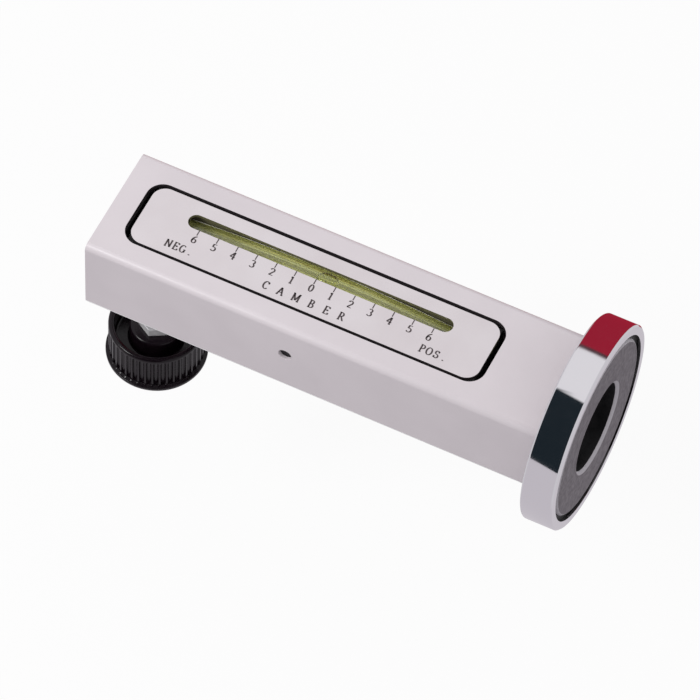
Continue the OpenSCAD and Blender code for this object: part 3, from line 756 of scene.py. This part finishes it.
def make_liquid(name, vial, per_degree, reading, side):
    """The vial's spirit, with its bubble as a hollow under the glass."""
    bend_r, half_l = bend_and_half_length(vial + "_glass", per_degree)
    half_l -= PLUG_L
    radius = VIAL_R - VIAL_WALL + WETTED
    sides, count = 48, 80
    turns = [2 * math.pi * j / sides for j in range(sides)]
    rings = []
    for i in range(count + 1):
        along = half_l * (2 * i / count - 1)
        rings.append([bent_point(along, radius * math.sin(turn), radius * math.cos(turn), bend_r, side)
                      for turn in turns])
    liquid = make_piece(
        name, flat(rings), skin(rings), materials["vial_liquid"], "carrier")
    add_bubble(liquid, bend_r, reading * per_degree, side)
    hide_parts(vial + "_liquid")


# Half of the bubble's length, width and height, and its middle's way out from the vial's
BUBBLE_HALF = (3.6 * MM, 2.2 * MM, 1.7 * MM)
BUBBLE_OUT = 1.3 * MM
# Spirit left between the bubble and the glass, how blunt the bubble's ends are, with 1 for
# an ellipsoid, and the share of its width that is left at the very end
FILM_T = 0.08 * MM
BLUNT = 0.8
END_SHARE = 0.02


def add_bubble(liquid, bend_r, middle, side):
    """Adds the bubble's skin to a liquid, facing into the bubble. Its top lies against
    the glass and its underside is bowed, with blunt ends."""
    length, width, height = BUBBLE_HALF
    film_r = VIAL_R - VIAL_WALL - FILM_T
    sides, count = 32, 20
    work = bmesh.new()
    work.from_mesh(liquid.data)
    rows = []
    for i in range(count + 1):
        lean = math.pi * (i / count - 0.5)
        along = middle + length * math.copysign(abs(math.sin(lean)) ** BLUNT, lean)
        slim = math.cos(lean) ** BLUNT if 0 < i < count else END_SHARE
        row = []
        for j in range(sides):
            turn = 2 * math.pi * j / sides
            out = BUBBLE_OUT + height * slim * math.sin(turn)
            across = width * slim * math.cos(turn)
            reach = math.hypot(out, across)
            if reach > film_r:
                out, across = out * film_r / reach, across * film_r / reach
            row.append(work.verts.new(bent_point(along, out, across, bend_r, side)))
        rows.append(row)
    faces = []
    for a, b in zip(rows, rows[1:]):
        for j in range(sides):
            k = (j + 1) % sides
            faces.append(work.faces.new((a[j], a[k], b[k], b[j])))
    faces += [work.faces.new(rows[0][::-1]), work.faces.new(rows[-1])]
    bmesh.ops.recalc_face_normals(work, faces=faces)
    bmesh.ops.reverse_faces(work, faces=faces)
    for face in faces:
        face.smooth = True
    work.to_mesh(liquid.data)
    work.free()


# How far up the vial's sides the plaster reaches, past the level of its middle, and
# how far its thin shell lies outside the glass and inside the glass's surface
BEDDING_RISE = math.radians(45)
BEDDING_OUT = 0.04 * MM
BEDDING_IN = 0.01 * MM


def shell_section(glass_r, start, end, place):
    """Section of a thin shell round a vial's glass, between two angles. place gives the
    point that lies a way out and a way across from the vial's middle."""
    sides = 24
    outer = (glass_r + BEDDING_OUT, range(sides + 1))
    inner = (glass_r - BEDDING_IN, range(sides, -1, -1))
    section = []
    for radius, order in (outer, inner):
        for j in order:
            turn = start + (end - start) * j / sides
            section.append(place(radius * math.sin(turn), radius * math.cos(turn)))
    return section


def make_bedding(name, vial, per_degree, side):
    """Plaster between the vial and its trough: a shell under the glass that reaches up
    on both sides to the scale plate."""
    bend_r, half_l = bend_and_half_length(vial + "_glass", per_degree)
    count = 60
    rings = []
    for i in range(count + 1):
        along = half_l * (2 * i / count - 1)
        rings.append(shell_section(
            VIAL_R, math.pi - BEDDING_RISE, 2 * math.pi + BEDDING_RISE,
            lambda out, across: bent_point(along, out, across, bend_r, side)))
    make_piece(name, flat(rings), skin(rings), plaster, "carrier")


def make_level_bedding():
    """Plaster behind the cross level's glass, on the side away from its window."""
    low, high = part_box("level_vial_glass")
    middle = (low + high) / 2
    rings = [shell_section(
        (high.x - low.x) / 2, -math.pi / 2, math.pi / 2,
        lambda out, across: (middle.x + across, y, middle.z + out)) for y in (low.y, high.y)]
    make_piece(
        "level_vial_bedding", flat(rings), skin(rings), bedding_plaster("Z"), "housing")


# ---- Printed scales ----

# Half width of upright and of level strokes, as shares of a letter's height
NIB = (0.1, 0.05)
INK_T = 0.02 * MM


def arc(x, y, rx, ry, start_deg, end_deg, steps=12):
    """Points of an elliptic arc in units of a letter's height."""
    turns = [math.radians(start_deg + (end_deg - start_deg) * i / steps) for i in range(steps + 1)]
    return [(x + rx * math.cos(t), y + ry * math.sin(t)) for t in turns]


def foot(x, y=0.0, half=0.17):
    """A serif, as a short level stroke."""
    return [(x - half, y), (x + half, y)]


# Each sign as pen strokes over a height of 1, drawn with a flat nib that makes upright
# strokes thick and level ones thin
SIGNS = {
    "0": [arc(0.3, 0.5, 0.22, 0.47, 90, 450, 24)],
    "1": [[(0.15, 0.8), (0.3, 0.95)], [(0.32, 0.98), (0.32, 0)], foot(0.32)],
    "2": [arc(0.29, 0.72, 0.22, 0.25, 170, -30) + [(0.1, 0.04)], [(0.06, 0.04), (0.56, 0.04)]],
    "3": [arc(0.27, 0.74, 0.2, 0.23, 150, -80), arc(0.27, 0.26, 0.25, 0.25, 80, -150)],
    "4": [[(0.42, 0.98), (0.04, 0.3)], [(0.03, 0.3), (0.62, 0.3)], [(0.43, 0.98), (0.43, 0)],
          foot(0.43, 0, 0.13)],
    "5": [[(0.15, 0.95), (0.52, 0.95)], [(0.16, 0.95), (0.13, 0.54)], arc(0.27, 0.31, 0.26, 0.28, 120, -150)],
    "6": [arc(0.31, 0.29, 0.23, 0.27, 0, 360, 20), arc(0.58, 0.3, 0.5, 0.68, 180, 100)],
    "7": [[(0.06, 0.95), (0.54, 0.95)], [(0.52, 0.95), (0.24, 0)]],
    "8": [arc(0.3, 0.74, 0.18, 0.22, 90, 450, 18), arc(0.3, 0.26, 0.23, 0.25, 90, 450, 18)],
    "A": [[(0.08, 0), (0.36, 1)], [(0.36, 1), (0.66, 0)], [(0.19, 0.35), (0.54, 0.35)],
          foot(0.08, 0, 0.11), foot(0.66, 0, 0.14)],
    "B": [[(0.16, 0), (0.16, 1)], foot(0.14, 0, 0.12), foot(0.14, 1, 0.12),
          [(0.16, 1)] + arc(0.3, 0.75, 0.22, 0.25, 90, -90) + [(0.16, 0.5)],
          [(0.16, 0.5)] + arc(0.32, 0.25, 0.26, 0.25, 90, -90) + [(0.16, 0)]],
    "C": [arc(0.38, 0.5, 0.3, 0.49, 45, 315, 20), [(0.6, 0.98), (0.6, 0.72)]],
    "E": [[(0.16, 0), (0.16, 1)], [(0.04, 1), (0.58, 1)], [(0.16, 0.52), (0.44, 0.52)], [(0.04, 0), (0.6, 0)],
          [(0.58, 1), (0.58, 0.8)], [(0.6, 0), (0.6, 0.22)], [(0.44, 0.62), (0.44, 0.42)]],
    "G": [arc(0.38, 0.5, 0.3, 0.49, 45, 330, 20), [(0.64, 0.42), (0.64, 0.08)], foot(0.62, 0.44, 0.13)],
    "M": [[(0.12, 0), (0.12, 1)], [(0.12, 1), (0.44, 0.12)], [(0.44, 0.12), (0.76, 1)],
          [(0.76, 1), (0.76, 0)], foot(0.12, 0, 0.12), foot(0.76, 0, 0.14),
          foot(0.08, 1, 0.09), foot(0.8, 1, 0.09)],
    "N": [[(0.12, 0), (0.12, 1)], [(0.12, 1), (0.64, 0.02)], [(0.64, 0.02), (0.64, 1)],
          foot(0.12, 0, 0.12), foot(0.64, 1, 0.12)],
    "O": [arc(0.38, 0.5, 0.31, 0.49, 90, 450, 24)],
    "P": [[(0.16, 0), (0.16, 1)], foot(0.16), foot(0.12, 1, 0.1),
          [(0.16, 1)] + arc(0.3, 0.74, 0.25, 0.26, 90, -90) + [(0.16, 0.48)]],
    "R": [[(0.16, 0), (0.16, 1)], foot(0.16, 0, 0.14), foot(0.12, 1, 0.1),
          [(0.16, 1)] + arc(0.3, 0.75, 0.23, 0.25, 90, -90) + [(0.16, 0.5)],
          [(0.34, 0.5), (0.64, 0.02)], foot(0.66, 0, 0.08)],
    "S": [arc(0.3, 0.74, 0.2, 0.24, 40, 235) + arc(0.3, 0.26, 0.22, 0.25, 70, -150),
          [(0.47, 0.98), (0.47, 0.74)], [(0.07, 0.28), (0.07, 0.02)]],
    "T": [[(0.04, 1), (0.64, 1)], [(0.34, 1), (0.34, 0)], foot(0.34),
          [(0.04, 1), (0.04, 0.8)], [(0.64, 1), (0.64, 0.8)]],
    ".": [[(0.1, 0.0), (0.1, 0.13)]],
}


def nib_reach(direction):
    """Half width of a stroke that runs in a direction."""
    across = Vector((-direction.y, direction.x))
    return across * math.hypot(NIB[0] * across.x, NIB[1] * across.y)


def stroke_sides(path):
    """The two sides of a pen stroke along a path."""
    path = [Vector(p) for p in path]
    left, right = [], []
    for i, point in enumerate(path):
        direction = (path[min(i + 1, len(path) - 1)] - path[max(i - 1, 0)]).normalized()
        reach = nib_reach(direction)
        left.append(point + reach)
        right.append(point - reach)
    return left, right


def print_marks(name, marks, z, side):
    """One printed mesh. marks holds ("tick", x, y, width, length) and
    (sign, x, y, height), where x and y are the sign's middle."""
    points, faces = [], []

    def lay(corners):
        faces.append(list(range(len(points), len(points) + len(corners))))
        points.extend((x, y, z) for x, y in corners)

    for mark in marks:
        if mark[0] == "tick":
            _, x, y, width, length = mark
            half = width / 2
            lay([(x - half, y), (x + half, y), (x + half, y - length), (x - half, y - length)])
            continue
        sign, x, y, height = mark
        strokes = SIGNS[sign]
        reach = [p[0] for stroke in strokes for p in stroke]
        middle = (min(reach) + max(reach)) / 2
        for stroke in strokes:
            left, right = stroke_sides(stroke)
            for i in range(len(left) - 1):
                corners = [left[i], left[i + 1], right[i + 1], right[i]]
                lay([(x + side * (c.x - middle) * height, y + (c.y - 0.5) * height) for c in corners])
    mesh = bpy.data.meshes.new(name)
    mesh.from_pydata(points, [], faces)
    work = bmesh.new()
    work.from_mesh(mesh)
    bmesh.ops.remove_doubles(work, verts=work.verts, dist=0.001 * MM)
    for face in work.faces:
        if face.normal.z * side < 0:
            face.normal_flip()
    work.to_mesh(mesh)
    work.free()
    mesh.materials.append(ink)
    piece = bpy.data.objects.new(name, mesh)
    bpy.context.scene.collection.objects.link(piece)
    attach(piece, "carrier")


CAMBER_DEGREES = 6
CASTER_DEGREES = 8
TICK_W = 0.34 * MM
TICK_L = 1.9 * MM
TICK_GAP = 0.05 * MM
DIGIT_H = 2.7 * MM
DIGIT_Y = -2.4 * MM
WORD_H = 2.8 * MM
WORD_PITCH = 5.1 * MM
WORD_Y = -7.6 * MM
# The two side words: letter height and pitch, and places from the scale's middle
SIDE_H = 2.7 * MM
SIDE_PITCH = 2.45 * MM
SIDE_Y = -7.1 * MM
CAMBER_SIDES_X = (-42.3 * MM, 43.1 * MM)
CASTER_SIDES_X = (-30 * MM, 30 * MM)
SLOT_HALF_W = 2.6 * MM


def scale_marks(degrees, per_degree, word, sides_x, side):
    """Ticks, numbers and words of one scale, read from the front when side is 1 and
    from the front with the gauge turned over when it is -1."""
    slot_edge = VIAL_Y - SLOT_HALF_W
    marks = []
    for degree in range(-degrees, degrees + 1):
        x = PIVOT_X + degree * per_degree
        marks.append(("tick", x, slot_edge - TICK_GAP, TICK_W, TICK_L))
        marks.append((str(abs(degree)), x, DIGIT_Y, DIGIT_H))
    words = [(word, 0, WORD_PITCH, WORD_Y, WORD_H)]
    words += [(text, x, SIDE_PITCH, SIDE_Y, SIDE_H) for text, x in zip(("NEG.", "POS."), sides_x)]
    for text, middle, pitch, y, height in words:
        for i, letter in enumerate(text):
            x = middle + (i - (len(text) - 1) / 2) * pitch
            marks.append((letter, PIVOT_X + side * x, y, height))
    return marks


def print_scales():
    """The print of both scale plates, which rocks with the carrier."""
    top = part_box("camber_scale_plate")[1].z + INK_T
    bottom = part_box("caster_scale_plate")[0].z - INK_T
    print_marks("camber_scale_print", scale_marks(
        CAMBER_DEGREES, CAMBER_PER_DEGREE, "CAMBER", CAMBER_SIDES_X, 1), top, 1)
    print_marks("caster_scale_print", scale_marks(
        CASTER_DEGREES, CASTER_PER_DEGREE, "CASTER", CASTER_SIDES_X, -1), bottom, -1)


# ---- Studio ----

FLOOR_Z = -0.12
FLOOR_HALF = 4.0
# How far the floor is pure white to the camera
FLOOR_WHITE = 0.9
# Grey of the light that falls from all round, and what polished surfaces mirror of the
# studio: a dark room in front, a white panel overhead, a red screen behind, a pale table
AROUND = 0.70
ROOM_DARK = "#1E262C"
PANEL_WHITE = "#EAE8EB"
PANEL_EDGE = "#53393F"
SCREEN_RED = "#9E2236"
TABLE_PALE = "#CDC8CE"
ROOM_ENDS = "#D6D4D8"
# Where each of them begins, in degrees that count from level in front over straight up, at
# 90, and level behind, at 180. Each blends with the next over a few degrees
PANEL_DEG = 80
EDGE_DEG = 133
SCREEN_DEG = 138
TABLE_DEG = 233
HALF_BLEND_DEG = 1.2
# Over which part of a direction's X the screen ends, and the plain ends of the room begin
SCREEN_END_X = (0.0, 0.08)
ROOM_END_X = (0.5, 0.62)
# The one lamp: in front, on the left and above, aimed at the middle of the gauge
LAMP_PLACE = (-0.76, -0.58, 0.82)
LAMP_TARGET = (-0.08, 0, 0)
LAMP_SIDE = 0.38
LAMP_WATTS = 5.2


def light_world():
    """White behind the object, even light on it, and the studio in its reflections."""
    world = bpy.data.worlds.new("studio")
    bpy.context.scene.world = world
    world.use_nodes = True
    tree = world.node_tree
    tree.nodes.clear()
    place = add(tree, "ShaderNodeTexCoord")
    parts = add(tree, "ShaderNodeSeparateXYZ", {"Vector": place.outputs["Generated"]})
    front = add(tree, "ShaderNodeMath", {0: parts.outputs["Y"], 1: -1.0}, operation="MULTIPLY")
    # The angle of a direction, as a share of a full turn
    angle = add(tree, "ShaderNodeMath", {0: parts.outputs["Z"], 1: front.outputs[0]}, operation="ARCTAN2")
    positive = add(tree, "ShaderNodeMath", {0: angle.outputs[0], 1: 2 * math.pi}, operation="ADD")
    share = add(tree, "ShaderNodeMath", {0: positive.outputs[0], 1: 2 * math.pi}, operation="DIVIDE")
    around = add(tree, "ShaderNodeMath", {0: share.outputs[0]}, operation="FRACT")

    def band(start_deg, end_deg, colour):
        ends = (start_deg + HALF_BLEND_DEG, end_deg - HALF_BLEND_DEG)
        return [(end / 360, srgb(colour)) for end in ends]

    studio = add(tree, "ShaderNodeValToRGB", {"Fac": around.outputs[0]}, stops=(
        band(0, PANEL_DEG, ROOM_DARK) + band(PANEL_DEG, EDGE_DEG, PANEL_WHITE)
        + band(EDGE_DEG, SCREEN_DEG, PANEL_EDGE) + band(SCREEN_DEG, TABLE_DEG, SCREEN_RED)
        + band(TABLE_DEG, 360, TABLE_PALE)))
    # The red screen stands behind on the left, and ends before the right half
    right = add(tree, "ShaderNodeMapRange", {
        "Value": parts.outputs["X"], "From Min": SCREEN_END_X[0], "From Max": SCREEN_END_X[1]})
    beside = product(tree, [
        right.outputs["Result"], inside(tree, around.outputs[0], EDGE_DEG / 360, TABLE_DEG / 360)])
    screened = add(tree, "ShaderNodeMixRGB", {
        "Fac": beside, "Color1": studio.outputs["Color"], "Color2": srgb(ROOM_ENDS)})
    # Towards the two ends of the gauge the studio is a plain pale grey
    ends = add(tree, "ShaderNodeMath", {0: parts.outputs["X"]}, operation="ABSOLUTE")
    near_ends = add(tree, "ShaderNodeMapRange", {
        "Value": ends.outputs[0], "From Min": ROOM_END_X[0], "From Max": ROOM_END_X[1]})
    mirrored = add(tree, "ShaderNodeMixRGB", {
        "Fac": near_ends.outputs["Result"], "Color1": screened.outputs["Color"], "Color2": srgb(ROOM_ENDS)})
    rays = add(tree, "ShaderNodeLightPath")
    lit = add(tree, "ShaderNodeMixRGB", {
        "Fac": rays.outputs["Is Glossy Ray"], "Color1": [AROUND, AROUND, AROUND, 1],
        "Color2": mirrored.outputs["Color"]})
    seen = add(tree, "ShaderNodeMath", {
        0: rays.outputs["Is Camera Ray"], 1: rays.outputs["Is Transmission Ray"]}, operation="MAXIMUM")
    colour = add(tree, "ShaderNodeMixRGB", {
        "Fac": seen.outputs[0], "Color1": lit.outputs["Color"], "Color2": [1, 1, 1, 1]})
    background = add(tree, "ShaderNodeBackground", {"Color": colour.outputs["Color"], "Strength": 1.0})
    add(tree, "ShaderNodeOutputWorld", {"Surface": background.outputs["Background"]})


def hang_lamp():
    """A square lamp that lights everything except the chromed cup, where its small hard
    image would lie on the rear edge."""
    data = bpy.data.lights.new("side_softbox", "AREA")
    data.shape = "SQUARE"
    data.size = LAMP_SIDE
    data.energy = LAMP_WATTS
    lamp = bpy.data.objects.new("side_softbox", data)
    lamp.location = LAMP_PLACE
    aim = Vector(LAMP_TARGET) - Vector(LAMP_PLACE)
    lamp.rotation_euler = aim.to_track_quat("-Z", "Y").to_euler()
    bpy.context.scene.collection.objects.link(lamp)
    spared = bpy.data.collections.new("spared_by_side_softbox")
    spared.objects.link(frame["nodes"]["magnet_cup"])
    spared.collection_objects[0].light_linking.link_state = "EXCLUDE"
    lamp.light_linking.receiver_collection = spared


def lay_floor():
    """A pale table far below the gauge. The camera sees it as nearly pure white, with a
    trace of the shadow, and a view from below looks through it."""
    sides = ((-1, -1), (1, -1), (1, 1), (-1, 1))
    corners = [(x * FLOOR_HALF, y * FLOOR_HALF, FLOOR_Z) for x, y in sides]
    mesh = bpy.data.meshes.new("floor")
    mesh.from_pydata(corners, [], [(0, 1, 2, 3)])
    floor = bpy.data.objects.new("floor", mesh)
    material, tree, shader = start("pale_table", "#A09EA1", 0.8)
    rays = add(tree, "ShaderNodeLightPath")
    paint_over(tree, shader, "#F2F1F2", rays.outputs["Is Camera Ray"])
    white = add(tree, "ShaderNodeEmission", {"Color": (1, 1, 1, 1), "Strength": 1.0})
    share = add(tree, "ShaderNodeMath", {
        0: rays.outputs["Is Camera Ray"], 1: FLOOR_WHITE}, operation="MULTIPLY")
    mixed = add(tree, "ShaderNodeMixShader", {
        0: share.outputs[0], 1: shader.outputs["BSDF"], 2: white.outputs["Emission"]})
    under = add(tree, "ShaderNodeNewGeometry")
    clear = add(tree, "ShaderNodeBsdfTransparent")
    one_sided = add(tree, "ShaderNodeMixShader", {
        0: under.outputs["Backfacing"], 1: mixed.outputs[0], 2: clear.outputs["BSDF"]})
    tree.links.new(one_sided.outputs[0], tree.nodes["Material Output"].inputs["Surface"])
    mesh.materials.append(material)
    bpy.context.scene.collection.objects.link(floor)
    floor.visible_glossy = False


# ---- Build ----

place_camera()
dress_cad_nodes()
round_edges()
make_knob()
make_screw()
make_spring("coiled_adjuster_spring", "adjuster_spring", ADJUSTER_WIRE_D, ADJUSTER_TURNS)
make_spring("coiled_return_spring", "return_spring", RETURN_WIRE_D, RETURN_TURNS)
make_liquid("camber_spirit", "camber_vial", CAMBER_PER_DEGREE, CAMBER_READING, 1)
make_liquid("caster_spirit", "caster_vial", CASTER_PER_DEGREE, 0, -1)
make_bedding("camber_vial_bedding", "camber_vial", CAMBER_PER_DEGREE, 1)
make_bedding("caster_vial_bedding", "caster_vial", CASTER_PER_DEGREE, -1)
make_level_bedding()
print_scales()

light_world()
hang_lamp()
lay_floor()

view = bpy.context.scene.view_settings
view.view_transform = "Standard"
